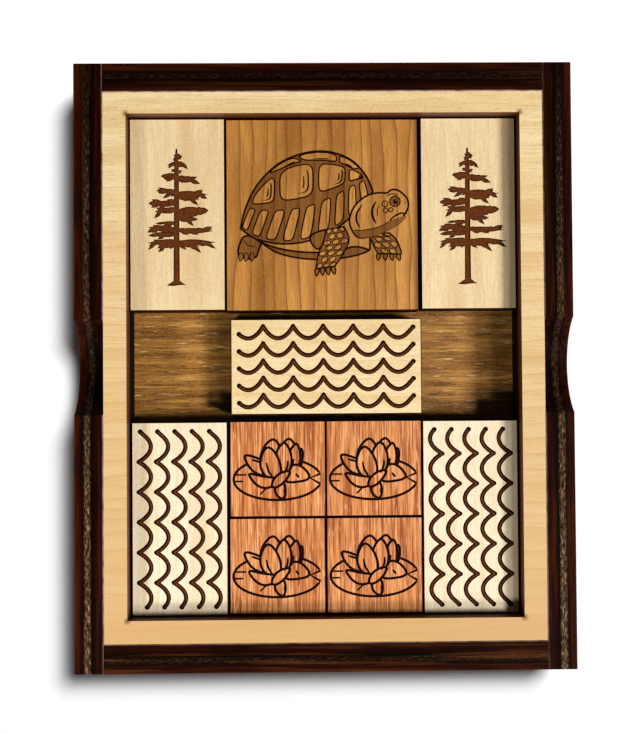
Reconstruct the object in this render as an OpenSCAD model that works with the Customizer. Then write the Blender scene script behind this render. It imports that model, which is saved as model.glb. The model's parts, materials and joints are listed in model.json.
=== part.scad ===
// Sliding tile puzzle: ten loose wooden tiles in an open, framed tray with a
// 4 x 5 cell well. Millimetres, Z up. Origin: centre of the footprint, on the
// table. X runs across the tray, Y from the front rail to the rear rail.

/* [Tiles] */
// Side of a one-cell tile
tile_size = 32.1; // [28:0.1:36]
// Gap between neighbouring cells; a two-cell tile spans it
tile_gap = 0.6; // [0.4:0.1:1.6]
// Length of the middle wave tile, which is cut a little short
wave_middle_length = 64.2; // [56:0.1:72]
// Thickness of every tile
tile_thickness = 10; // [8:0.1:12]
// Eased edge round the top and bottom of every tile
tile_chamfer = 0.3; // [0.1:0.05:0.6]

/* [Well] */
// Clearance between the outer cells and the wall of the well
wall_clearance = 0.3; // [0.2:0.1:1]
// Extra play of the rows, front to rear
row_play = 3.9; // [1:0.1:5]

/* [Tray layers] */
// Thickness of the floor panel
floor_thickness = 6.4; // [4:0.1:9]
// Height of the hidden wall strips on the floor panel
wall_height = 9.2; // [7:0.1:12]
// Thickness of the pale top frame
frame_thickness = 6.6; // [4:0.1:8]
// Width of the top frame at the left, the right and the front
frame_border = 7.6; // [5:0.1:12]
// Width of the top frame at the rear
rear_border = 7; // [5:0.1:12]

/* [Rails] */
// Width of the four outer rails
rail_width = 9.5; // [6:0.1:14]
// Height of the rails above the top frame
rail_proud = 0.5; // [0.2:0.1:3]
// Eased inner top edge of the rails
rail_chamfer = 0.4; // [0.1:0.05:0.8]

/* [Finger scoops] */
// Length of each scoop at the top of its side rail
scoop_length = 31.8; // [24:0.2:40]
// Depth of each scoop below the top of the rail
scoop_depth = 8.8; // [5:0.1:11]

/* [Hidden] */
$fn = 96;

// A cutting shape reaches this far past the face that it cuts.
overshoot = 1;
columns = 4;
rows = 5;

pair_size = 2 * tile_size + tile_gap;
pitch = tile_size + tile_gap;
well_x = columns * tile_size + (columns - 1) * tile_gap + 2 * wall_clearance;
well_y = rows * tile_size + (rows - 1) * tile_gap + 2 * wall_clearance + row_play;
panel_x = well_x + 2 * frame_border;
panel_y = well_y + frame_border + rear_border;
overall_x = panel_x + 2 * rail_width;
overall_y = panel_y + 2 * rail_width;

// The well sits a little to the rear, where the border is narrower.
well_mid_y = (frame_border - rear_border) / 2;
well_rear = well_mid_y + well_y / 2;
well_front = well_mid_y - well_y / 2;

frame_z = floor_thickness + wall_height;
frame_top = frame_z + frame_thickness;
overall_z = frame_top + rail_proud;

scoop_radius = (scoop_length * scoop_length / 4 + scoop_depth * scoop_depth) / (2 * scoop_depth);

// Middles of the cells. The top pieces lie against the rear wall and the bottom
// ones against the front wall.
column_x = 1.5 * pitch;
half_column_x = pitch / 2;
top_row_y = well_rear - pair_size / 2;
bottom_row_y = well_front + pair_size / 2;
lily_front_y = well_front + tile_size / 2;
lily_rear_y = lily_front_y + pitch;

// Where each tile has come to rest within its play, from the middle of its cell.
tree_left_nudge = [-0.1, -0.3];
tree_right_nudge = [-0.1, -0.3];
turtle_nudge = [-0.4, -0.6];
wave_middle_nudge = [0.65, -0.45];
wave_left_nudge = [0.3, 0.1];
wave_right_nudge = [-0.2, 0.1];
lily_rear_left_nudge = [0.45, 0.25];
lily_rear_right_nudge = [0.05, 0.25];
lily_front_left_nudge = [0.25, 0.5];
lily_front_right_nudge = [0.05, 0.5];

// A rail along Y with its inner top edge eased; inner face at x = 0, body on +X.
module rail_bar(length) {
    rotate([90, 0, 0])
        linear_extrude(height = length, center = true)
            polygon([[0, 0], [rail_width, 0], [rail_width, overall_z],
                     [rail_chamfer, overall_z], [0, overall_z - rail_chamfer]]);
}

// A side rail with the finger scoop cut down from the top by a drum.
module side_rail() {
    difference() {
        rail_bar(overall_y);
        translate([-overshoot, 0, overall_z - scoop_depth + scoop_radius])
            rotate([0, 90, 0])
                cylinder(r = scoop_radius, h = rail_width + 2 * overshoot);
    }
}

// A wall strip that stands on the floor panel under the top frame.
module wall_strip(size_x, size_y) {
    translate([-size_x / 2, -size_y / 2, floor_thickness])
        cube([size_x, size_y, wall_height]);
}

// One tile with eased edges, resting on the floor panel at the given centre.
module tile(size_x, size_y, at) {
    translate([at[0], at[1], floor_thickness])
        intersection() {
            rotate([90, 0, 0])
                linear_extrude(height = size_y + 2 * overshoot, center = true)
                    tile_section(size_x);
            rotate([90, 0, 90])
                linear_extrude(height = size_x + 2 * overshoot, center = true)
                    tile_section(size_y);
        }
}

// Section of a tile: a rectangle with its four corners eased.
module tile_section(width) {
    h = width / 2;
    c = tile_chamfer;
    polygon([[-h + c, 0], [h - c, 0], [h, c], [h, tile_thickness - c],
             [h - c, tile_thickness], [-h + c, tile_thickness],
             [-h, tile_thickness - c], [-h, c]]);
}

module rail_left() {
    color("#3b201a")
        translate([-panel_x / 2, 0, 0])
            mirror([1, 0, 0])
                side_rail();
}

module rail_right() {
    color("#3b201a")
        translate([panel_x / 2, 0, 0])
            side_rail();
}

module rail_rear() {
    color("#3b201a")
        translate([0, panel_y / 2, 0])
            rotate([0, 0, 90])
                rail_bar(panel_x);
}

module rail_front() {
    color("#3b201a")
        translate([0, -panel_y / 2, 0])
            rotate([0, 0, -90])
                rail_bar(panel_x);
}

module top_frame() {
    color("#e3c38d")
        translate([0, 0, frame_z])
            difference() {
                translate([-panel_x / 2, -panel_y / 2, 0])
                    cube([panel_x, panel_y, frame_thickness]);
                translate([-well_x / 2, well_front, -overshoot])
                    cube([well_x, well_y, frame_thickness + 2 * overshoot]);
            }
}

module wall_strip_left() {
    color("#2a1a12")
        translate([-(well_x + frame_border) / 2, 0, 0])
            wall_strip(frame_border, panel_y);
}

module wall_strip_right() {
    color("#2a1a12")
        translate([(well_x + frame_border) / 2, 0, 0])
            wall_strip(frame_border, panel_y);
}

module wall_strip_rear() {
    color("#2a1a12")
        translate([0, well_rear + rear_border / 2, 0])
            wall_strip(well_x, rear_border);
}

module wall_strip_front() {
    color("#2a1a12")
        translate([0, well_front - frame_border / 2, 0])
            wall_strip(well_x, frame_border);
}

module floor_panel() {
    color("#8a6136")
        translate([-panel_x / 2, -panel_y / 2, 0])
            cube([panel_x, panel_y, floor_thickness]);
}

module tile_tree_left() {
    color("#dcb98a")
        tile(tile_size, pair_size, [-column_x, top_row_y] + tree_left_nudge);
}

module tile_tree_right() {
    color("#dcb98a")
        tile(tile_size, pair_size, [column_x, top_row_y] + tree_right_nudge);
}

module tile_turtle() {
    color("#bd8045")
        tile(pair_size, pair_size, [0, top_row_y] + turtle_nudge);
}

module tile_wave_middle() {
    color("#ddbb84")
        tile(wave_middle_length, tile_size, [0, well_mid_y] + wave_middle_nudge);
}

module tile_wave_left() {
    color("#e0c8a0")
        tile(tile_size, pair_size, [-column_x, bottom_row_y] + wave_left_nudge);
}

module tile_wave_right() {
    color("#e0c8a0")
        tile(tile_size, pair_size, [column_x, bottom_row_y] + wave_right_nudge);
}

module tile_lily_rear_left() {
    color("#c8774c")
        tile(tile_size, tile_size, [-half_column_x, lily_rear_y] + lily_rear_left_nudge);
}

module tile_lily_rear_right() {
    color("#c8774c")
        tile(tile_size, tile_size, [half_column_x, lily_rear_y] + lily_rear_right_nudge);
}

module tile_lily_front_left() {
    color("#c8774c")
        tile(tile_size, tile_size, [-half_column_x, lily_front_y] + lily_front_left_nudge);
}

module tile_lily_front_right() {
    color("#c8774c")
        tile(tile_size, tile_size, [half_column_x, lily_front_y] + lily_front_right_nudge);
}

rail_left();
rail_right();
rail_rear();
rail_front();
top_frame();
wall_strip_left();
wall_strip_right();
wall_strip_rear();
wall_strip_front();
floor_panel();
tile_tree_left();
tile_tree_right();
tile_turtle();
tile_wave_middle();
tile_wave_left();
tile_wave_right();
tile_lily_rear_left();
tile_lily_rear_right();
tile_lily_front_left();
tile_lily_front_right();
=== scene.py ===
"""Sliding tile puzzle: the looks of the tray and its ten engraved tiles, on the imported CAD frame."""
import json
import math
import random

import bpy
import numpy as np
from mathutils import Euler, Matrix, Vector
from mathutils.geometry import delaunay_2d_cdt


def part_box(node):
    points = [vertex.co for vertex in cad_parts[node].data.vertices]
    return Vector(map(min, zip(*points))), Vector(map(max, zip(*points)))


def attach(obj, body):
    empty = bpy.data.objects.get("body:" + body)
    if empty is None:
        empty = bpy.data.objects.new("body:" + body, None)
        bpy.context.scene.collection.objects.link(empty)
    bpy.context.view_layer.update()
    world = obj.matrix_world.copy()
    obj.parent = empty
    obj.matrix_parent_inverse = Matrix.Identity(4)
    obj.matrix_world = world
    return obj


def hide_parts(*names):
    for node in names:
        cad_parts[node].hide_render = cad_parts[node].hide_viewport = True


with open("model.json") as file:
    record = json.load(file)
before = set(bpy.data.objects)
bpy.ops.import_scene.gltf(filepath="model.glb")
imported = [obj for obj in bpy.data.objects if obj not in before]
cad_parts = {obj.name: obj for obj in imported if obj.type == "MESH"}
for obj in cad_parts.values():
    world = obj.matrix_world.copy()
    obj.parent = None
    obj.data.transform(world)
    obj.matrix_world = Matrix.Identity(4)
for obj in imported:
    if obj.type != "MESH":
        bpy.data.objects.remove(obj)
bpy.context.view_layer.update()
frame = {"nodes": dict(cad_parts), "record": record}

MM = 0.001
TINY = 1e-4                # mm, an edge shorter than this has no direction of its own
BURN_DEPTH = 0.45          # mm, floor of a dark engraved line
SCORCH_DEPTH = 0.18        # mm, floor of a lightly shaded area
TILE_CHAMFER = 0.3         # mm, eased edges, as on the CAD tiles
TURTLE_PEN = 0.64          # mm, width of the turtle's main outlines
CORNERS = ((-1, -1), (1, -1), (1, 1), (-1, 1))

# What a patch of a tile's top is, and the index of its material on the tile.
PLAIN, EDGE, BURN, BROWN, SCORCH = range(5)
PATCH_DEPTH = {PLAIN: 0.0, BURN: BURN_DEPTH, BROWN: BURN_DEPTH, SCORCH: SCORCH_DEPTH}


# ---------------------------------------------------------------- plane curves, in millimetres

def smooth(points, closed=False, steps=6):
    """Points along a Catmull-Rom curve through the given points."""
    count = len(points)
    spans = count if closed else count - 1
    out = []
    for i in range(spans):
        if closed:
            p0, p1, p2, p3 = (points[(i + k - 1) % count] for k in range(4))
        else:
            p0, p1 = points[max(i - 1, 0)], points[i]
            p2, p3 = points[i + 1], points[min(i + 2, count - 1)]
        for k in range(steps):
            t = k / steps
            out.append(tuple(
                0.5 * (2 * b + (c - a) * t + (2 * a - 5 * b + 4 * c - d) * t * t
                       + (3 * b - a - 3 * c + d) * t ** 3)
                for a, b, c, d in zip(p0, p1, p2, p3)))
    if not closed:
        out.append(tuple(points[-1]))
    return out


def disc(centre, radius, sides=10):
    """A round dot."""
    return [(centre[0] + radius * math.cos(2 * math.pi * k / sides),
             centre[1] + radius * math.sin(2 * math.pi * k / sides)) for k in range(sides)]


def line_quads(points, width, closed=False, taper=0.0):
    """A drawn line as a chain of four-sided pieces. taper narrows its two ends."""
    count = len(points)
    sides = []
    for i, p in enumerate(points):
        before = points[i - 1] if i or closed else p
        after = points[(i + 1) % count] if i < count - 1 or closed else p
        direction = Vector((after[0] - before[0], after[1] - before[1]))
        if direction.length < TINY:
            direction = Vector((1, 0))
        direction.normalize()
        half = width / 2
        if taper and not closed:
            share = i / (count - 1)
            half *= 1 - taper + taper * math.sin(math.pi * share) ** 0.5
        sides.append(((p[0] - direction.y * half, p[1] + direction.x * half),
                      (p[0] + direction.y * half, p[1] - direction.x * half)))
    last = count if closed else count - 1
    quads = []
    for i in range(last):
        (a, b), (c, d) = sides[i], sides[(i + 1) % count]
        quads.append([b, d, c, a])
    return quads


class Drawing:
    """Patches painted one over the other on a tile's top; the last one painted shows."""

    def __init__(self):
        self.patches = []

    def area(self, kind, outline):
        self.patches.append((kind, outline))

    def line(self, kind, points, width, closed=False, taper=0.0):
        for quad in line_quads(points, width, closed, taper):
            self.area(kind, quad)

    def shape(self, outline, width, fill=PLAIN):
        """A closed shape that hides what is behind it, with a dark outline."""
        self.area(fill, outline)
        self.line(BURN, outline, width, closed=True)


# ---------------------------------------------------------------- engraved pictures

def waves(length, depth, turn):
    """Five rows of waves, drawn for a lying tile and turned by quarter turns."""
    drawing = Drawing()
    period, rise, first_crest, start = 10.1, 4.1, 11.2, 3.1
    rows, row_step, first_row = 5, 5.78, 2.35
    crests, steps = 5, 120
    end = first_crest + crests * period
    end_curl, end_drop = 1.5, 0.55
    pen, crest_radius, end_radius = 1.5, 0.8, 0.86
    lit_pen, lit_x, lit_y = 0.56, 0.12, -0.2
    for row in range(rows):
        crest_y = depth / 2 - first_row - row * row_step
        points = []
        for k in range(steps + 1):
            x = start + (end - start) * k / steps
            phase = ((x - first_crest) / period) % 1.0
            swing = rise * (0.75 * math.sin(math.pi * phase) + 0.25 * (1 - (2 * phase - 1) ** 4))
            curled = max(0.0, (x - end + end_curl) / end_curl)
            points.append((x - length / 2, crest_y - swing - end_drop * curled ** 2))
        tops = [(first_crest + k * period - length / 2, crest_y) for k in range(crests)]
        points = [turned(p, turn) for p in sorted(points + tops)]
        drawing.line(BURN, points, pen)
        for top in tops:
            drawing.area(BURN, disc(turned(top, turn), crest_radius))
        for end_point in (points[0], points[-1]):
            drawing.area(BURN, disc(end_point, end_radius, 14))
        # A brown line set off to one side inside each stroke is a painted highlight: the lit wall of the
        # groove.
        lit_side = [(x + lit_x, y + lit_y) for x, y in points]
        drawing.line(BROWN, lit_side, lit_pen)
    return drawing


def tree():
    """A conifer with ragged boughs on a thin trunk, darker along its outline."""
    drawing = Drawing()
    trunk_x = -0.2
    pen = 0.17
    dice = random.Random(5)
    trunk = [(trunk_x - 1.0, -23.0), (trunk_x + 0.8, -23.0), (trunk_x + 0.7, -2.0), (trunk_x + 0.6, 16.0),
             (trunk_x + 0.1, 22.2), (trunk_x - 0.1, 22.2), (trunk_x - 0.6, 16.0), (trunk_x - 0.8, -2.0)]
    foot = [(trunk_x - 3.2, -23.8), (trunk_x - 2.2, -23.2), (trunk_x - 0.9, -22.4), (trunk_x + 0.9, -22.4),
            (trunk_x + 2.7, -23.7), (trunk_x + 0.8, -23.6), (trunk_x - 1.2, -23.9)]
    # height at the trunk, reach (negative to the left), rise at the tip, thickness
    boughs = ((20.2, 1.3, -1.4, 1.5), (19.2, -0.8, -1.0, 1.0), (17.4, -2.7, -0.6, 1.5),
              (17.2, 3.2, -0.6, 1.9), (14.9, 1.3, -0.8, 1.0), (15.2, -1.5, -0.6, 0.9),
              (12.6, -4.6, 0.6, 2.6), (12.3, 6.1, -0.8, 2.6), (7.6, -6.0, 0.5, 1.9),
              (7.2, 10.0, -0.5, 2.3), (6.2, 7.2, -1.0, 2.3), (3.9, -8.9, -0.4, 2.4),
              (1.7, -7.0, -0.6, 2.3), (0.8, 9.9, 0.6, 3.6), (-0.4, 5.6, -1.6, 2.6),
              (-3.0, -5.6, 0.3, 1.3), (-5.4, 11.7, -0.2, 2.1), (-5.2, -9.2, 0.9, 2.5),
              (-6.6, -8.0, -0.2, 1.9), (-9.4, 12.5, 0.0, 2.3), (-9.2, 7.2, -1.6, 2.2),
              (-9.2, -9.3, -0.3, 2.3), (-9.6, -5.6, -1.4, 1.9))
    needles = []
    for height, reach, rise, thick in boughs:
        needles += bough((trunk_x, height), reach, rise, thick, dice)
    for outline in (trunk, foot):
        drawing.line(BURN, outline, 2 * pen, closed=True)
    for base, tip, width in needles:
        beyond = (Vector(tip) - Vector(base)).normalized() * 2 * pen
        drawing.area(BURN, petal(base, Vector(tip) + beyond, width + 2 * pen, 0.0, 1.0, 7))
    for outline in (trunk, foot):
        drawing.area(BROWN, outline)
    for base, tip, width in needles:
        drawing.area(BROWN, petal(base, tip, width, 0.0, 1.0, 7))
    return drawing


def bough(root, reach, rise, thick, dice):
    """Base, tip and width of a limb that leaves the trunk sideways and of the needle clumps along it."""
    side = math.copysign(1, reach)
    needles = [((root[0] - side * 0.9, root[1]), (root[0] + reach, root[1] + rise), thick * 0.8)]
    clumps = max(2, round(abs(reach) / 1.2))
    for k in range(clumps):
        share = (k + 0.2) / clumps * 0.84
        start = (root[0] + reach * share, root[1] + rise * share)
        length = dice.uniform(2.0, 3.9) * min(1.0, abs(reach) / 5)
        droop = dice.uniform(-0.8, 0.4)
        tip = (start[0] + side * length * math.cos(droop), start[1] + length * math.sin(droop))
        needles.append((start, tip, thick * dice.uniform(0.35, 0.6)))
    return needles


def petal(base, tip, width, lean=0.0, point=0.75, steps=12):
    """A long oval from base to tip. lean bends it to its left; point is 0.5 for round ends, 1 for sharp."""
    axis = Vector((tip[0] - base[0], tip[1] - base[1]))
    across = Vector((-axis.y, axis.x)).normalized()
    left, right = [], []
    for k in range(steps + 1):
        t = (1 - math.cos(math.pi * k / steps)) / 2
        middle = Vector(base) + axis * t + across * lean * math.sin(math.pi * t)
        half = width / 2 * max(0.0, math.sin(math.pi * t ** 0.85)) ** point
        left.append(tuple(middle + across * half))
        right.append(tuple(middle - across * half))
    return left + list(reversed(right[1:-1]))


def lily():
    """A water lily in thin lines on a notched leaf."""
    drawing = Drawing()
    pen = 0.86
    centre, reach_x, reach_y = (-0.1, -3.4), 14.7, 7.0
    notch = 0.24
    rim = [(centre[0] + reach_x * math.cos(a), centre[1] + reach_y * math.sin(a))
           for a in (notch + (2 * math.pi - 2 * notch) * k / 60 for k in range(61))]
    drawing.line(BURN, rim + [(10.9, centre[1] + 0.3)], pen, closed=True)
    drawing.line(BURN, [(-14.2, -1.9), (-10.6, -1.9)], pen, taper=0.3)
    drawing.line(BURN, [(-14.6, -4.1), (-11.6, -4.1)], pen, taper=0.3)
    drawing.line(BURN, [(-3.0, -5.6), (-5.9, -8.4)], pen, taper=0.3)
    # base, tip, width, lean and point of each petal, from the back to the front
    petals = (((2.2, -2.0), (8.0, 6.6), 4.6, -0.6, 0.6), ((-1.0, -1.0), (-11.0, 4.4), 4.8, 0.9, 0.6),
              ((-1.0, -2.0), (-1.6, 9.9), 7.4, 0.8, 0.55), ((1.4, -2.0), (4.0, 10.0), 6.8, -0.6, 0.55),
              ((2.0, -2.5), (6.4, 8.4), 4.8, -0.9, 0.6), ((2.0, -2.8), (10.6, -2.6), 5.8, 1.2, 0.55),
              ((0.8, -3.0), (2.2, 8.7), 5.8, -0.3, 0.55), ((-0.8, -3.6), (-3.4, 7.2), 6.6, 0.5, 0.55),
              ((0.4, -4.0), (-9.6, -1.8), 3.8, 1.5, 0.6), ((0.8, -4.4), (1.6, -10.0), 3.6, -0.4, 0.55),
              ((-1.8, -6.0), (4.0, -0.8), 3.2, 0.2, 0.6))
    for base, tip, width, lean, point in petals:
        drawing.shape(petal(base, tip, width, lean, point, 16), pen)
    for accent in ([(-3.8, 2.2), (-3.2, -0.4), (-1.7, -2.8)], [(3.4, 2.8), (3.2, 0.6), (2.2, -1.6)],
                   [(5.4, 3.4), (4.8, 1.0), (3.4, -1.2)], [(6.0, -1.6), (7.2, -3.0)],
                   [(-8.8, 3.2), (-5.6, 2.2)], [(2.4, -6.2), (2.2, -8.4)]):
        drawing.line(BURN, smooth(accent), pen * 0.9, taper=0.6)
    return drawing


def at(curve, share):
    """The point at a share of the way along a sampled curve."""
    where = max(0.0, min(1.0, share)) * (len(curve) - 1)
    i = min(int(where), len(curve) - 2)
    return tuple(a + (b - a) * (where - i) for a, b in zip(curve[i], curve[i + 1]))


def between(low_curve, high_curve, u, v):
    """A point u along two curves and v of the way from the low one to the high one."""
    a, b = at(low_curve, u), at(high_curve, u)
    return tuple(p + (q - p) * v for p, q in zip(a, b))


def cell(low_curve, high_curve, u_range, v_range, shrink=1.0):
    """A rounded patch between two curves, as a closed outline."""
    squareness, steps = 0.45, 28
    u_mid, v_mid = sum(u_range) / 2, sum(v_range) / 2
    u_half, v_half = (u_range[1] - u_range[0]) / 2 * shrink, (v_range[1] - v_range[0]) / 2 * shrink
    outline = []
    for k in range(steps):
        a = 2 * math.pi * k / steps
        c, s = math.cos(a), math.sin(a)
        outline.append(between(low_curve, high_curve,
                               u_mid + u_half * math.copysign(abs(c) ** squareness, c),
                               v_mid + v_half * math.copysign(abs(s) ** squareness, s)))
    return outline


def scaly_leg(drawing, back_edge, front_edge, rows, columns, claws, claw_reach):
    """A leg between two edges, covered in scales, with curved claws at its foot."""
    for k in range(claws):
        share = (k + 0.5) / claws
        root = between(back_edge, front_edge, 0.94, share)
        tip = (root[0] + (share - 0.6) * 1.6, root[1] - claw_reach)
        drawing.shape(petal(root, tip, 1.5, -0.25, 0.85), 0.42, SCORCH)
    drawing.shape(back_edge + list(reversed(front_edge)), 0.5, SCORCH)
    for row in range(rows):
        shift = 0.5 * (row % 2)
        for column in range(columns + 1):
            low = (column - shift) / columns + 0.03
            high = low + 1 / columns - 0.06
            if low < -0.1 or high > 1.1:
                continue
            ring = []
            for k in range(10):
                a = 2 * math.pi * k / 10
                across = (low + high) / 2 + (high - low) / 2 * math.cos(a)
                down = (row + 0.5 + 0.46 * math.sin(a)) / rows
                ring.append(between(back_edge, front_edge, down, across))
            drawing.shape(ring, 0.34)


def hind_leg(drawing):
    foot = [(-26.0, -7.0), (-27.6, -9.2), (-28.4, -12.0), (-27.6, -14.6), (-25.8, -14.0), (-24.6, -14.9),
            (-23.4, -13.8), (-22.4, -14.3), (-21.4, -11.6), (-20.6, -9.2), (-21.5, -7.6)]
    drawing.shape(smooth(foot, closed=True, steps=3), TURTLE_PEN, SCORCH)
    for x in (-27.4, -25.6, -23.6):
        drawing.shape(petal((x, -12.6), (x - 0.3, -15.6), 1.5, 0.1, 0.8), 0.32, SCORCH)
    drawing.line(BURN, smooth([(-26.4, -8.4), (-25.0, -10.2), (-22.6, -10.6)]), 0.36, taper=0.6)


def belly(drawing, rim):
    """The shaded belly, and the plain strip between it and the rim of the shell."""
    low = smooth([(-21.0, -9.0), (-15.0, -12.8), (-6.0, -14.8), (4.0, -14.9), (12.0, -13.6), (16.0, -12.0)])
    high = smooth([(-21.0, -9.0), (-15.0, -11.2), (-6.0, -12.6), (4.0, -12.4), (11.0, -10.8), (16.0, -12.0)])
    drawing.shape(low + list(reversed(high)), TURTLE_PEN, SCORCH)
    drawing.shape(high + list(reversed(rim)), TURTLE_PEN)


def plate(drawing, low_curve, high_curve, u_range, v_range, pen, strokes):
    """A plate of the shell, with short strokes that follow its outline further in.

    Each stroke has its size against the plate, its first and last place on the outline and its width."""
    drawing.shape(cell(low_curve, high_curve, u_range, v_range), pen)
    for shrink, first, last, width in strokes:
        inner = cell(low_curve, high_curve, u_range, v_range, shrink=shrink)
        drawing.line(BURN, [inner[k] for k in range(first, last)], width, taper=0.9)


def shell(drawing, rim):
    """The shell: a row of plates along the rim, one along the side and one along the top."""
    waist = smooth([(-24.4, 3.2), (-18.5, 2.7), (-10.5, 3.2), (-3.0, 4.8), (4.5, 8.0), (10.5, 11.0),
                    (14.6, 12.4)])
    ridge = smooth([(-23.4, 6.0), (-18.0, 12.4), (-11.0, 16.8), (-3.0, 18.2), (5.0, 17.4), (10.5, 15.4),
                    (14.2, 13.0)])
    dome = smooth([(-27.5, -4.5), (-25.6, 3.0), (-21.4, 10.8), (-14.5, 17.4), (-6.0, 20.9), (2.0, 21.4),
                   (9.5, 18.8), (14.6, 13.6), (17.2, 8.0)])
    drawing.shape(dome + list(reversed(rim)), TURTLE_PEN, SCORCH)
    rim_plates = 9
    for k in range(rim_plates):
        start, end = k / rim_plates + 0.012, (k + 1) / rim_plates - 0.03
        plate(drawing, rim, waist, (start, end), (0.08, 0.9), 0.46, ())
        notch = [between(rim, waist, end - 0.02, 0.25), between(rim, waist, end - 0.035, 0.7)]
        drawing.line(BURN, notch, 0.5, taper=0.8)
    for span in ((0.03, 0.22), (0.26, 0.5), (0.54, 0.75), (0.79, 0.96)):
        plate(drawing, waist, ridge, span, (0.14, 0.94), 0.48, ((0.72, -7, 5, 0.55), (0.45, -5, 3, 0.5)))
    for span in ((0.3, 0.44), (0.46, 0.67), (0.69, 0.83)):
        plate(drawing, ridge, dome, span, (0.12, 0.9), 0.46, ((0.6, -9, -2, 0.4),))


def head(drawing):
    """The head and neck, shaded below, with the mouth and the folds of the neck."""
    outline = smooth([(10.2, -5.6), (9.2, -1.8), (10.8, 2.6), (14.4, 6.0), (18.4, 7.3), (21.8, 7.3),
                      (23.4, 8.3), (25.4, 8.3), (27.4, 6.9), (28.8, 5.2), (29.1, 2.8), (28.2, 0.6),
                      (26.0, -2.2), (22.0, -4.8), (17.0, -7.2), (12.6, -7.8)], closed=True)
    drawing.shape(outline, TURTLE_PEN)
    shade = smooth([(10.6, -5.4), (14.0, -5.2), (19.0, -4.2), (23.6, -1.8), (28.2, -0.6), (26.4, -3.0),
                    (22.6, -5.3), (17.0, -7.4), (12.6, -7.6)], closed=True)
    drawing.area(SCORCH, shade)
    jaw = [(10.6, -5.2), (14.0, -5.2), (19.0, -4.2), (23.4, -1.9)]
    mouth = [(28.6, 0.2), (26.6, 0.4), (24.4, -0.6), (22.8, -2.0)]
    middle_fold = [(18.2, 4.4), (17.0, 2.0), (17.0, -0.6), (18.2, -3.0)]
    rear_fold = [(13.6, 3.4), (11.8, 0.6), (11.6, -2.2), (12.8, -4.4)]
    front_fold = [(19.4, 3.4), (18.6, 1.4), (18.8, -0.6)]
    for points, width, taper in ((jaw, 0.3, 0.6), (mouth, 0.6, 0.5), (middle_fold, 0.8, 0.8),
                                 (rear_fold, 0.7, 0.8), (front_fold, 0.35, 0.8)):
        drawing.line(BURN, smooth(points), width, taper=taper)


def face(drawing):
    """The eye with its brow, the nostril and a few scales on the cheek."""
    eye, eye_radius = (24.6, 4.4), 1.75
    drawing.area(SCORCH, disc(eye, eye_radius, 18))
    drawing.line(BURN, disc(eye, eye_radius, 18), 0.42, closed=True)
    drawing.area(BURN, disc((eye[0] + 0.2, eye[1]), 0.85, 14))
    drawing.area(PLAIN, disc((eye[0] + 0.45, eye[1] + 0.35), 0.22, 8))
    drawing.area(BURN, disc((28.1, 3.9), 0.28, 8))
    drawing.line(BURN, smooth([(21.6, 6.2), (23.6, 7.0), (25.8, 6.4)]), 0.4, taper=0.7)
    for x, y, radius in ((21.2, 3.6, 1.0), (21.4, 1.4, 0.8), (23.2, 1.6, 0.7)):
        drawing.line(BURN, disc((x, y), radius, 12), 0.36, closed=True)


def turtle():
    """A turtle that walks to the right, drawn from the back to the front."""
    drawing = Drawing()
    rim = smooth([(-27.5, -4.5), (-22.5, -7.9), (-14.5, -9.7), (-5.5, -9.0), (3.5, -5.4), (10.5, 0.0),
                  (16.5, 6.6)])
    hind_leg(drawing)
    belly(drawing, rim)
    far_back = smooth([(15.6, -6.6), (16.8, -9.4), (18.6, -13.2)])
    far_front = smooth([(22.6, -6.2), (25.2, -8.8), (26.8, -13.4)])
    scaly_leg(drawing, far_back, far_front, rows=4, columns=3, claws=4, claw_reach=2.6)
    shell(drawing, rim)
    head(drawing)
    face(drawing)
    shoulder = [(-3.4, -6.6), (-3.8, -9.2), (-1.6, -11.6), (0.4, -9.4), (1.6, -5.2)]
    drawing.shape(smooth(shoulder, closed=True), TURTLE_PEN, SCORCH)
    near_back = smooth([(1.4, -5.0), (0.2, -9.4), (-1.4, -13.4), (-2.2, -18.2)])
    near_front = smooth([(7.4, -4.0), (9.0, -8.4), (7.0, -13.2), (4.2, -17.4)])
    scaly_leg(drawing, near_back, near_front, rows=7, columns=3, claws=4, claw_reach=3.2)
    return drawing


def turned(point, turn):
    """A point turned by turn quarter turns, anticlockwise."""
    x, y = point
    for _ in range(turn % 4):
        x, y = -y, x
    return (x, y)


# ---------------------------------------------------------------- tile meshes

def covered(centres, outline):
    """Which of the centres the outline goes round, however it crosses itself."""
    winding = np.zeros(len(centres), dtype=int)
    x, y = centres[:, 0], centres[:, 1]
    for (ax, ay), (bx, by) in zip(outline, outline[1:] + outline[:1]):
        side = (bx - ax) * (y - ay) - (by - ay) * (x - ax)
        winding += (ay <= y) & (y < by) & (side > 0)
        winding -= (by <= y) & (y < ay) & (side < 0)
    return winding != 0


def split_top(outline, drawing, outlined):
    """Triangles of the tile's top, each with the kind of the last patch painted over it.

    outlined is the width of a dark edge inside everything engraved, or 0 for none."""
    points, edges = [], []
    merged_within = 1e-5
    for polygon in [outline] + [polygon for _, polygon in drawing.patches]:
        first, count = len(points), len(polygon)
        edges += [(first + k, first + (k + 1) % count) for k in range(count)]
        points += [Vector(p) for p in polygon]
    points, _, triangles, _, _, _ = delaunay_2d_cdt(points, edges, [], 0, merged_within, False)
    places = np.array([tuple(p) for p in points])
    centres = places[np.array(triangles)].mean(axis=1)
    shown = np.full(len(triangles), PLAIN)
    for kind, polygon in drawing.patches:
        low, high = np.min(polygon, axis=0), np.max(polygon, axis=0)
        near = np.nonzero(np.all((centres >= low) & (centres <= high), axis=1))[0]
        shown[near[covered(centres[near], polygon)]] = kind
    shown = shown.tolist()
    if outlined:
        marked = Drawing()
        marked.patches = drawing.patches + edge_band(points, triangles, shown, outlined)
        return split_top(outline, marked, 0)
    return points, triangles, shown


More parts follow.
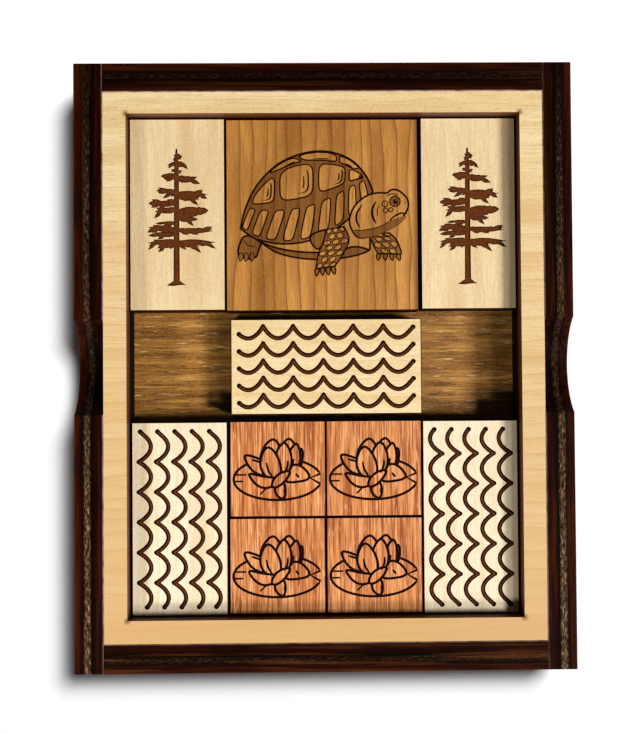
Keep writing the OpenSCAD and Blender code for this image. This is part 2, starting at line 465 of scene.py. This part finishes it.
def edge_band(points, triangles, shown, width):
    """Dark patches along the inside edge of everything engraved."""
    border = {}
    for triangle, kind in zip(triangles, shown):
        for a, b in zip(triangle, triangle[1:] + triangle[:1]):
            border[(a, b)] = kind
    painted_shadow = []
    for (a, b), kind in border.items():
        if kind == PLAIN or border.get((b, a), PLAIN) != PLAIN:
            continue
        p, q = points[a], points[b]
        along = q - p
        if along.length < TINY:
            continue
        inward = Vector((-along.y, along.x)).normalized() * width
        painted_shadow.append((BURN, [tuple(p), tuple(q), tuple(q + inward), tuple(p + inward)]))
    return painted_shadow


class TileMesh:
    """The points and faces of one tile, given in millimetres from the middle of its footprint."""

    def __init__(self, centre):
        self.centre = centre
        self.verts, self.index = [], {}
        self.faces, self.slots = [], []

    def vert(self, key, x, y, z):
        """The number of the point with this key, which is made when it is first asked for."""
        if key not in self.index:
            self.index[key] = len(self.verts)
            self.verts.append(((self.centre.x + x) * MM, (self.centre.y + y) * MM, z * MM))
        return self.index[key]

    def face(self, corners, slot):
        self.faces.append(corners)
        self.slots.append(slot)

    def add_top(self, points, triangles, shown, top):
        """Each triangle at the depth of its kind, with an upright wall where two depths meet."""
        edges = {}
        for triangle, kind in zip(triangles, shown):
            depth = PATCH_DEPTH[kind]
            self.face([self.top_vert(points, i, top, depth) for i in triangle], kind)
            for a, b in zip(triangle, triangle[1:] + triangle[:1]):
                edges[(a, b)] = depth
        for (a, b), depth in edges.items():
            beside = edges.get((b, a))
            if beside is None or beside <= depth:
                continue
            wall = ((b, depth), (a, depth), (a, beside), (b, beside))
            self.face([self.top_vert(points, i, top, level) for i, level in wall], BURN)

    def top_vert(self, points, i, top, depth):
        return self.vert((i, depth), points[i].x, points[i].y, top - depth)

    def ring(self, tag, half, inset, z):
        """The four corners of the tile at height z, moved in by inset."""
        return [self.vert((tag, k), x * (half.x - inset), y * (half.y - inset), z)
                for k, (x, y) in enumerate(CORNERS)]

    def add_sides(self, top_corners, half, low, high):
        """The upright sides with their eased edges, and the base."""
        rings = [top_corners, self.ring("high", half, 0, high - TILE_CHAMFER),
                 self.ring("low", half, 0, low + TILE_CHAMFER), self.ring("base", half, TILE_CHAMFER, low)]
        for upper, lower in zip(rings, rings[1:]):
            for k in range(4):
                after = (k + 1) % 4
                self.face([lower[k], lower[after], upper[after], upper[k]], EDGE)
        self.face(list(reversed(rings[-1])), EDGE)


def nearest(points, place):
    """The number of the point that is nearest to a place."""
    return min(range(len(points)), key=lambda i: (points[i] - Vector(place)).length_squared)


def engraved_tile(node, wood, drawing, outlined=0.0):
    """The tile that stands for a CAD tile, with its picture cut into the top."""
    low, high = (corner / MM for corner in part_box(node))
    half = (high - low) / 2
    outline = [(x * (half.x - TILE_CHAMFER), y * (half.y - TILE_CHAMFER)) for x, y in CORNERS]
    points, triangles, shown = split_top(outline, drawing, outlined)
    tile = TileMesh((low + high) / 2)
    tile.add_top(points, triangles, shown, high.z)
    top_corners = [tile.top_vert(points, nearest(points, place), high.z, 0.0) for place in outline]
    tile.add_sides(top_corners, half, low.z, high.z)

    mesh = bpy.data.meshes.new(node + "_engraved")
    mesh.from_pydata(tile.verts, [], tile.faces)
    for material in (wood, EDGE_CHAR, LINE_CHAR, BROWN_CHAR_AND_HIGHLIGHT, scorched(wood)):
        mesh.materials.append(material)
    mesh.polygons.foreach_set("material_index", tile.slots)
    mesh.update()
    piece = bpy.data.objects.new(node + "_engraved", mesh)
    bpy.context.scene.collection.objects.link(piece)
    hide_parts(node)
    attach(piece, body_of(node))


def body_of(node):
    """The CAD body that holds a node."""
    for body, members in frame["record"]["behaviour"]["bodies"].items():
        if node in members:
            return body
    raise KeyError(node)


# ---------------------------------------------------------------- materials

def linear(hex_colour):
    """A linear colour from its #rrggbb name."""
    channels = [int(hex_colour[k:k + 2], 16) / 255 for k in (1, 3, 5)]
    return [c / 12.92 if c <= 0.04045 else ((c + 0.055) / 1.055) ** 2.4 for c in channels] + [1.0]


class Shader:
    """A material's node tree, with one call for each kind of node."""

    def __init__(self, name, roughness, gloss=0.3):
        self.material = bpy.data.materials.new(name)
        self.material.use_nodes = True
        self.tree = self.material.node_tree
        self.bsdf = self.tree.nodes["Principled BSDF"]
        self.bsdf.inputs["Roughness"].default_value = roughness
        self.bsdf.inputs["Specular IOR Level"].default_value = gloss
        self.place = self.add("ShaderNodeTexCoord").outputs["Object"]

    def add(self, kind, **settings):
        node = self.tree.nodes.new(kind)
        for name, value in settings.items():
            setattr(node, name, value)
        return node

    def plug(self, socket, value):
        if isinstance(value, bpy.types.NodeSocket):
            self.tree.links.new(value, socket)
        else:
            socket.default_value = value

    def math(self, operation, a, b=0.0):
        node = self.add("ShaderNodeMath", operation=operation)
        self.plug(node.inputs[0], a)
        self.plug(node.inputs[1], b)
        return node.outputs[0]

    def axis(self, name, source=None):
        node = self.add("ShaderNodeSeparateXYZ")
        self.plug(node.inputs[0], source or self.place)
        return node.outputs[name]

    def stretched(self, scale, offset=(0, 0, 0)):
        """Coordinates in cycles, from a scale in cycles per millimetre along X, Y and Z."""
        node = self.add("ShaderNodeMapping")
        self.plug(node.inputs["Vector"], self.place)
        node.inputs["Scale"].default_value = [s / MM for s in scale]
        node.inputs["Location"].default_value = offset
        return node.outputs[0]

    def noise(self, scale, offset=(0, 0, 0), detail=3.0, rough=0.5, warp=0.0):
        node = self.add("ShaderNodeTexNoise")
        self.plug(node.inputs["Vector"], self.stretched(scale, offset))
        node.inputs["Scale"].default_value = 1.0
        node.inputs["Detail"].default_value = detail
        node.inputs["Roughness"].default_value = rough
        node.inputs["Distortion"].default_value = warp
        return node.outputs["Fac"]

    def ramp(self, fac, stops):
        """Colours or grey values placed along a 0 to 1 factor."""
        node = self.add("ShaderNodeValToRGB")
        self.plug(node.inputs[0], fac)
        elements = node.color_ramp.elements
        while len(elements) < len(stops):
            elements.new(0.5)
        for element, (position, value) in zip(elements, stops):
            element.position = position
            element.color = linear(value) if isinstance(value, str) else [value, value, value, 1]
        return node.outputs["Color"]

    def span(self, value, start, end, low=0.0, high=1.0):
        """value from start to end becomes low to high, held beyond both."""
        node = self.add("ShaderNodeMapRange")
        self.plug(node.inputs["Value"], value)
        for name, number in (("From Min", start), ("From Max", end), ("To Min", low), ("To Max", high)):
            node.inputs[name].default_value = number
        return node.outputs["Result"]

    def mix(self, fac, a, b, blend="MIX"):
        node = self.add("ShaderNodeMix", data_type="RGBA", blend_type=blend)
        self.plug(node.inputs["Factor"], fac)
        self.plug(node.inputs["A"], linear(a) if isinstance(a, str) else a)
        self.plug(node.inputs["B"], linear(b) if isinstance(b, str) else b)
        return node.outputs["Result"]

    def colour(self, value):
        self.plug(self.bsdf.inputs["Base Color"], value)

    def bump(self, height, strength, distance_mm):
        node = self.add("ShaderNodeBump")
        self.plug(node.inputs["Height"], height)
        node.inputs["Strength"].default_value = strength
        node.inputs["Distance"].default_value = distance_mm * MM
        self.plug(self.bsdf.inputs["Normal"], node.outputs["Normal"])

    def upright(self):
        """1 on faces that look sideways, 0 on those that look up or down."""
        normal = self.add("ShaderNodeNewGeometry").outputs["Normal"]
        return self.span(self.math("ABSOLUTE", self.axis("Z", normal)), 0.35, 0.8, 1.0, 0.0)


def along(axis, across_scale, along_scale):
    """A noise scale that is stretched along one axis, X or Y."""
    return ((along_scale, across_scale, across_scale) if axis == "X"
            else (across_scale, along_scale, across_scale))


def grain_noise(shader, axis, seed, across_scale, along_scale, **options):
    return shader.noise(along(axis, across_scale, along_scale), (seed, seed * 1.7, seed * 0.6), **options)


def maple(name, axis, seed, light, dark, warm):
    """Pale wood with soft bands, hair-fine fibres, a few warm lines and small dashes."""
    s = Shader(name, 0.5)
    broad = grain_noise(s, axis, seed, 0.16, 0.014, detail=3.0)
    fibre = grain_noise(s, axis, seed + 3, 2.2, 0.1, detail=4.0, rough=0.65)
    dashes = grain_noise(s, axis, seed + 7, 3.2, 0.6, detail=1.0)
    line = growth_lines(s, axis, seed + 9, 7.5, 2.5)
    speck = s.noise((2.4, 2.4, 2.4), (seed, 0, 0), detail=3.0, rough=0.7)
    colour = s.ramp(broad, [(0.3, light), (0.55, dark), (0.75, warm)])
    colour = s.mix(s.span(fibre, 0.4, 0.7, 0.0, 0.7), colour, warm)
    colour = s.mix(s.span(dashes, 0.58, 0.72, 0.0, 0.7), colour, warm)
    colour = s.mix(s.math("MULTIPLY", line, 0.5), colour, warm)
    colour = s.mix(s.span(speck, 0.5, 0.7, 0.0, 0.6), colour, light)
    colour = s.mix(s.span(speck, 0.5, 0.3, 0.0, 0.45), colour, warm)
    s.colour(colour)
    s.bump(fibre, 0.25, 0.05)
    return s.material


def growth_lines(shader, axis, seed, spacing_mm, wander):
    """0 to 1 across each growth ring, with a thin line of 1 at its dark end."""
    cross = shader.axis("X" if axis == "Y" else "Y")
    drift = grain_noise(shader, axis, seed, 0.05, 0.012, detail=2.0)
    rings = shader.math("DIVIDE", cross, spacing_mm * MM)
    rings = shader.math("ADD", rings, shader.math("MULTIPLY", drift, wander))
    return shader.ramp(shader.math("FRACT", rings),
                       [(0.0, 0.0), (0.6, 0.12), (0.86, 0.45), (0.93, 1.0), (0.98, 0.3), (1.0, 0.0)])


def cherry(name, axis, seed, right_edge):
    """Orange brown wood with thin dark growth lines and a painted shadow along its right edge."""
    s = Shader(name, 0.45)
    line = growth_lines(s, axis, seed, 4.6, 3.0)
    broad = grain_noise(s, axis, seed + 2, 0.1, 0.02, detail=3.0)
    fibre = grain_noise(s, axis, seed + 5, 2.4, 0.12, detail=4.0, rough=0.65)
    speck = s.noise((3.2, 1.6, 3.2), (seed, 0, 0), detail=2.0, rough=0.7)
    colour = s.ramp(broad, [(0.32, "#d3954a"), (0.5, "#b57b37"), (0.68, "#915c1f")])
    colour = s.mix(s.math("MULTIPLY", line, 0.85), colour, "#613009")
    colour = s.mix(s.span(fibre, 0.4, 0.7, 0.0, 0.6), colour, "#87501a")
    colour = s.mix(s.span(speck, 0.55, 0.75, 0.0, 0.3), colour, "#e3b371")
    # Painted shadow: a dark band along the tile's right edge.
    painted_shadow = s.span(s.axis("X"), right_edge - 2.2 * MM, right_edge - 0.8 * MM, 0.0, 0.8)
    colour = s.mix(painted_shadow, colour, "#6f4518")
    s.colour(colour)
    s.bump(fibre, 0.25, 0.05)
    return s.material


def redwood(name, axis, seed):
    """Pinkish orange wood with strong wavy streaks."""
    s = Shader(name, 0.45)
    streak = grain_noise(s, axis, seed, 0.6, 0.03, detail=3.0, rough=0.6, warp=0.5)
    fine = grain_noise(s, axis, seed + 4, 2.0, 0.06, detail=3.0, rough=0.6)
    dash = grain_noise(s, axis, seed + 8, 2.2, 0.18, detail=2.0)
    colour = s.ramp(streak, [(0.28, "#f0b078"), (0.44, "#e0965a"), (0.56, "#cd8046"), (0.7, "#a05022")])
    colour = s.mix(s.span(fine, 0.44, 0.62, 0.0, 0.95), colour, "#8c441a")
    colour = s.mix(s.span(dash, 0.6, 0.72, 0.0, 0.6), colour, "#f7c290")
    s.colour(colour)
    s.bump(fine, 0.25, 0.05)
    return s.material


def veneer(name, seed):
    """Golden brown floor veneer with dark pores and pale flecks along X."""
    s = Shader(name, 0.5)
    broad = grain_noise(s, "X", seed, 0.35, 0.02, detail=3.0, rough=0.6, warp=0.5)
    streak = grain_noise(s, "X", seed + 2, 1.4, 0.07, detail=4.0, rough=0.65)
    pore = grain_noise(s, "X", seed + 5, 2.8, 0.2, detail=2.0)
    fleck = grain_noise(s, "X", seed + 9, 1.8, 0.15, detail=2.0)
    speck = s.noise((2.6, 2.6, 2.6), (seed, 0, 0), detail=2.0, rough=0.7)
    colour = s.ramp(broad, [(0.3, "#c89248"), (0.5, "#9c6826"), (0.7, "#6b3d0c")])
    colour = s.mix(s.span(streak, 0.44, 0.62, 0.0, 0.8), colour, "#4c2405")
    colour = s.mix(s.span(speck, 0.46, 0.62, 0.0, 0.4), colour, "#c48f45")
    colour = s.mix(s.span(pore, 0.6, 0.7, 0.0, 0.8), colour, "#3a1502")
    colour = s.mix(s.span(fleck, 0.64, 0.74, 0.0, 0.85), colour, "#e3c28c")
    s.colour(colour)
    s.bump(pore, 0.4, -0.08)
    return s.material


def dark_rail(name, axis, inner, width, top, seed, stripe_ends, vein_strength):
    """Dark red-brown wood with a coarse stripe along its middle that is painted grey as a sheen, with painted
    shade in the scoops and a painted highlight on the inner arris.

    stripe_ends says how strong the stripe's painted sheen is at the front and at the rear end of the tray,
    and vein_strength how much the lighter brown veins show."""
    s = Shader(name, 0.5, 0.02)
    cross = s.math("ABSOLUTE", s.axis("X" if axis == "Y" else "Y"))
    share = s.span(cross, inner, inner + width)
    wander = grain_noise(s, axis, seed, 0.2, 0.012, detail=3.0)
    share = s.math("ADD", share, s.math("MULTIPLY", s.math("SUBTRACT", wander, 0.5), 0.12))
    streak = grain_noise(s, axis, seed + 3, 1.3, 0.05, detail=4.0, rough=0.65)
    colour = s.ramp(share, [(0.0, "#290a04"), (0.2, "#230702"), (0.36, "#100301"), (0.42, "#050100"),
                            (0.7, "#130301"), (0.8, "#2a0b04"), (0.94, "#341005"), (1.0, "#4c2412")])
    colour = s.mix(s.span(streak, 0.4, 0.62, 0.0, 0.85), colour, "#0c0301")
    vein = grain_noise(s, axis, seed + 12, 0.7, 0.02, detail=3.0, rough=0.6)
    colour = s.mix(s.span(vein, 0.54, 0.68, 0.0, vein_strength), colour, "#52290f")
    grit = grain_noise(s, axis, seed + 6, 2.2, 0.5, detail=4.0, rough=0.75)
    # The grey stripe is painted sheen. Its strength changes from the front to the rear end of the tray.
    stripe = s.ramp(grit, [(0.36, "#120603"), (0.48, "#3e2719"), (0.58, "#775a3f"), (0.7, "#c9b08c")])
    mask = s.ramp(share, [(0.42, 0.0), (0.5, 1.0), (0.62, 1.0), (0.7, 0.0)])
    sheen_along_rail = s.span(s.axis("Y"), -100 * MM, 100 * MM, *stripe_ends)
    # Painted shade: the sheen and the arris highlight are dimmed below the rail's top, in the scoops.
    scoop_shade = s.span(s.axis("Z"), top - 1.2 * MM, top - 0.3 * MM, 0.45, 1.0)
    colour = s.mix(s.math("MULTIPLY", s.math("MULTIPLY", mask, sheen_along_rail), scoop_shade), colour, stripe)
    # Painted highlight on the inner arris, broken up like wear, in a light grey-brown.
    arris = s.span(cross, inner + 0.1 * MM, inner + 0.42 * MM, 1.0, 0.0)
    wear_and_highlight = s.span(grain_noise(s, axis, seed + 9, 0.9, 0.25, detail=3.0), 0.35, 0.6, 0.35, 1.0)
    wear_and_highlight = s.math("MULTIPLY", wear_and_highlight, scoop_shade)
    colour = s.mix(s.math("MULTIPLY", arris, wear_and_highlight), colour, "#a58a7d")
    s.colour(colour)
    s.bump(grit, 0.35, 0.06)
    return s.material


def pale_frame(name, well_floor, top, half_x, front, rear):
    """Maple ring with its grain along X, darker toward the front and burnt brown at the opening."""
    s = Shader(name, 0.5)
    broad = grain_noise(s, "X", 2, 0.12, 0.012, detail=2.0)
    fibre = grain_noise(s, "X", 5, 1.8, 0.06, detail=4.0, rough=0.6)
    dashes = grain_noise(s, "X", 9, 2.6, 0.25, detail=2.0)
    line = growth_lines(s, "X", 14, 5.5, 2.5)
    speck = s.noise((2.0, 2.6, 2.6), (3, 0, 0), detail=3.0, rough=0.7)
    toward_front = s.span(s.axis("Y"), 60 * MM, -60 * MM, 0.2, 0.6)
    colour = s.ramp(broad, [(0.3, "#f4dfae"), (0.52, "#e8ce98"), (0.75, "#d6b37b")])
    colour = s.mix(s.span(fibre, 0.42, 0.7, 0.0, 0.65), colour, "#c9a067")
    colour = s.mix(s.span(dashes, 0.6, 0.75, 0.0, 0.6), colour, "#bd8c4e")
    colour = s.mix(s.span(speck, 0.5, 0.7, 0.0, 0.5), colour, "#f6e0b4")
    colour = s.mix(s.span(speck, 0.5, 0.3, 0.0, 0.4), colour, "#c79d62")
    colour = s.mix(s.math("MULTIPLY", line, toward_front), colour, "#b07d40")
    colour = s.mix(s.span(s.axis("Y"), rear, front, 0.0, 0.85), colour, "#c69c63")
    colour = s.mix(s.span(s.axis("Y"), front + 1 * MM, front - 1 * MM, 0.0, 0.3), colour, "#bd9058")
    height = s.span(s.axis("Z"), well_floor, top)
    walls = s.ramp(height, [(0.0, "#2a1006"), (0.5, "#552c12"), (0.95, "#6e3f1e"), (1.0, "#8d5a30")])
    soot = corner_soot(s, half_x, front, rear)
    s.colour(s.mix(s.upright(), s.mix(soot, colour, "#4a2a12"), walls))
    s.bump(fibre, 0.25, 0.05)
    return s.material


def corner_soot(shader, half_x, front, rear):
    """How sooty the frame's top is: most at the four corners of its opening, none a little way off."""
    from_side = shader.math("SUBTRACT", shader.math("ABSOLUTE", shader.axis("X")), half_x)
    from_middle = shader.math("ABSOLUTE", shader.math("SUBTRACT", shader.axis("Y"), (rear + front) / 2))
    from_end = shader.math("SUBTRACT", from_middle, (rear - front) / 2)
    squares = shader.math("ADD", shader.math("POWER", from_side, 2.0), shader.math("POWER", from_end, 2.0))
    return shader.span(shader.math("SQRT", squares), 0.3 * MM, 1.5 * MM, 0.75, 0.0)


def char(name, dark, light, roughness):
    """Laser-burnt wood."""
    s = Shader(name, roughness, 0.04)
    soot = s.noise((1.6, 1.6, 0.35), detail=4.0, rough=0.6)
    s.colour(s.ramp(soot, [(0.35, dark), (0.7, light)]))
    s.bump(soot, 0.3, 0.05)
    return s.material


def scorched(wood):
    """The same wood lightly browned by a raster pass."""
    name = wood.name + "_scorched"
    if name in bpy.data.materials:
        return bpy.data.materials[name]
    copy = wood.copy()
    copy.name = name
    tree = copy.node_tree
    bsdf = tree.nodes["Principled BSDF"]
    source = bsdf.inputs["Base Color"].links[0].from_socket
    node = tree.nodes.new("ShaderNodeMix")
    node.data_type = "RGBA"
    node.blend_type = "MULTIPLY"
    node.inputs["Factor"].default_value = 1.0
    tree.links.new(source, node.inputs["A"])
    node.inputs["B"].default_value = (0.44, 0.37, 0.26, 1)
    tree.links.new(node.outputs["Result"], bsdf.inputs["Base Color"])
    return copy


EDGE_CHAR = char("burnt_edge", "#120502", "#301507", 0.7)
LINE_CHAR = char("burnt_line", "#0f0300", "#250b02", 0.75)
# Brown burn for the tree's fill, also used as the painted highlight inside the wave strokes.
BROWN_CHAR_AND_HIGHLIGHT = char("burnt_brown_and_painted_highlight", "#4c220b", "#6d3a18", 0.7)


def dress(node, material):
    """Gives a CAD node its material and slightly softened edges."""
    piece = frame["nodes"][node]
    piece.data.materials.clear()
    piece.data.materials.append(material)
    bevel = piece.modifiers.new("eased_edges", "BEVEL")
    bevel.width = 0.18 * MM
    bevel.segments = 2
    bevel.limit_method = "ANGLE"


def build_tray():
    frame_low, frame_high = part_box("top_frame")
    inner_x, inner_y = frame_high.x, frame_high.y
    rail_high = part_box("rail_right")[1]
    width = rail_high.x - inner_x
    # Strength of the rails' painted sheen at the front and at the rear end of the tray.
    side_stripe, cross_stripe = (0.95, 0.04), (0.09, 0.05)
    rails = (("rail_left", "Y", inner_x, side_stripe, 0.25), ("rail_right", "Y", inner_x, side_stripe, 0.3),
             ("rail_rear", "X", inner_y, cross_stripe, 0.25), ("rail_front", "X", inner_y, cross_stripe, 0.7))
    for k, (node, axis, inner, stripe_ends, veins) in enumerate(rails):
        wood = dark_rail(node + "_wood", axis, inner, width, rail_high.z, 11 + 5 * k, stripe_ends, veins)
        dress(node, wood)
    half_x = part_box("wall_strip_right")[0].x
    front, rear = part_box("wall_strip_front")[1].y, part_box("wall_strip_rear")[0].y
    dress("top_frame", pale_frame("pale_frame", frame_low.z, frame_high.z, half_x, front, rear))
    soot = char("wall_soot", "#090302", "#1c0c06", 0.8)
    for side in ("left", "right", "rear", "front"):
        dress("wall_strip_" + side, soot)
    dress("floor_panel", veneer("floor_veneer", 4))


def size_mm(node):
    low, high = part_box(node)
    return (high - low) / MM


def build_tiles():
    pair = size_mm("tile_turtle").x
    single = size_mm("tile_lily_rear_left").x
    engraved_tile("tile_wave_middle", maple("warm_maple", "X", 3, "#f2deb4", "#e7cf9d", "#d3ad74"),
                  waves(pair, single, 0))
    for side, turn in (("left", 1), ("right", 3)):
        wood = maple("white_maple_" + side, "Y", 20 + turn, "#f3e6cb", "#ebdcbb", "#d6ba8f")
        engraved_tile("tile_wave_" + side, wood, waves(pair, single, turn))
        wood = maple("tree_maple_" + side, "Y", 40 + turn, "#eed9ac", "#e4cb9d", "#cfaa78")
        engraved_tile("tile_tree_" + side, wood, tree(), outlined=0.22)
    wood = cherry("turtle_cherry", "Y", 6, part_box("tile_turtle")[1].x)
    engraved_tile("tile_turtle", wood, turtle())
    for k, place in enumerate(("rear_left", "rear_right", "front_left", "front_right")):
        wood = redwood("lily_redwood_" + place, "Y", 60 + 9 * k)
        engraved_tile("tile_lily_" + place, wood, lily())


def add_area_light(name, tilt, azimuth, distance, spread, share):
    """A square soft light aimed at the tray.

    tilt is its angle from straight above and azimuth the side it stands on, 0 for +X and 90 for +Y.
    spread is half the angle that it fills, and share the brightness it gives a white sheet."""
    tilt, azimuth, spread = (math.radians(a) for a in (tilt, azimuth, spread))
    light = bpy.data.lights.new(name, "AREA")
    light.size = 2 * distance * math.tan(spread)
    light.energy = share * (math.pi * distance) ** 2 / abs(math.cos(tilt))
    lamp = bpy.data.objects.new(name, light)
    lamp.location = Vector((math.sin(tilt) * math.cos(azimuth), math.sin(tilt) * math.sin(azimuth),
                            math.cos(tilt))) * distance
    lamp.rotation_euler = lamp.location.to_track_quat("Z", "Y").to_euler()
    lamp.visible_camera = False
    bpy.context.scene.collection.objects.link(lamp)
    return lamp


def limit_light(lamp, piece, state):
    """Makes a light reach only this piece (INCLUDE) or everything but it (EXCLUDE)."""
    receivers = bpy.data.collections.new(lamp.name + "_receivers")
    receivers.objects.link(piece)
    receivers.collection_objects[0].light_linking.link_state = state
    lamp.light_linking.receiver_collection = receivers


def let_through(lamp, piece):
    """Makes a light shine through this piece."""
    blockers = bpy.data.collections.new(lamp.name + "_blockers")
    blockers.objects.link(piece)
    blockers.collection_objects[0].light_linking.link_state = "EXCLUDE"
    lamp.light_linking.blocker_collection = blockers


def build_floor():
    """A pale table top just below the tray, which can be seen through from underneath."""
    reach, drop = 2.5, -0.05 * MM
    mesh = bpy.data.meshes.new("studio_floor")
    mesh.from_pydata([(x * reach, y * reach, drop) for x, y in CORNERS], [], [(0, 1, 2, 3)])
    floor = bpy.data.objects.new("studio_floor", mesh)
    bpy.context.scene.collection.objects.link(floor)
    shader = Shader("studio_floor", 0.9, 0.0)
    shader.bsdf.inputs["Base Color"].default_value = (0.93, 0.93, 0.93, 1)
    from_below = shader.add("ShaderNodeNewGeometry").outputs["Backfacing"]
    shader.plug(shader.bsdf.inputs["Alpha"], shader.math("SUBTRACT", 1.0, from_below))
    mesh.materials.append(shader.material)
    return floor


def build_world():
    """A faint even glow on the object, and a pale backdrop where the camera looks past the floor."""
    glow, backdrop = 0.03, 0.8
    world = bpy.data.worlds.new("studio")
    world.use_nodes = True
    nodes, links = world.node_tree.nodes, world.node_tree.links
    strength = nodes.new("ShaderNodeMapRange")
    strength.inputs["To Min"].default_value = glow
    strength.inputs["To Max"].default_value = backdrop
    links.new(nodes.new("ShaderNodeLightPath").outputs["Is Camera Ray"], strength.inputs["Value"])
    nodes["Background"].inputs["Color"].default_value = (1, 1, 1, 1)
    links.new(strength.outputs["Result"], nodes["Background"].inputs["Strength"])
    bpy.context.scene.world = world


def build_studio():
    floor = build_floor()
    build_world()
    # Three lights stand round the tray and leave the table top unlit.
    for placing in (("right", 46, -18, 1.8, 6, 0.76), ("front", 42, -54, 1.8, 5, 0.2),
                    ("left", 58, 223, 0.5, 3.5, 0.27)):
        limit_light(add_area_light(*placing), floor, "EXCLUDE")
    # The table top has its own light, which throws a soft shadow to the left and to the front.
    limit_light(add_area_light("table", 31, 47, 6.0, 8.2, 1.12), floor, "INCLUDE")
    # A light straight below shows the underside.
    let_through(add_area_light("under", 180, 0, 1.5, 4, 0.9), floor)
    bpy.context.scene.view_settings.view_transform = "Standard"


def build_camera():
    """Straight above, a touch off centre, with the slight tilt of a hand-held picture."""
    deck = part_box("top_frame")[1].z
    shift_x, shift_y, height = -5.8 * MM, -6.4 * MM, 330.3 * MM
    camera = bpy.data.cameras.new("camera")
    camera.sensor_fit = "HORIZONTAL"
    camera.sensor_width = 36
    camera.lens = 56.25
    eye = bpy.data.objects.new("camera", camera)
    eye.location = (shift_x, shift_y, deck + height)
    eye.rotation_euler = Euler((0.0182, -0.0127, -0.0072), "XYZ")
    bpy.context.scene.collection.objects.link(eye)
    bpy.context.scene.camera = eye


build_tray()
build_tiles()
build_studio()
build_camera()
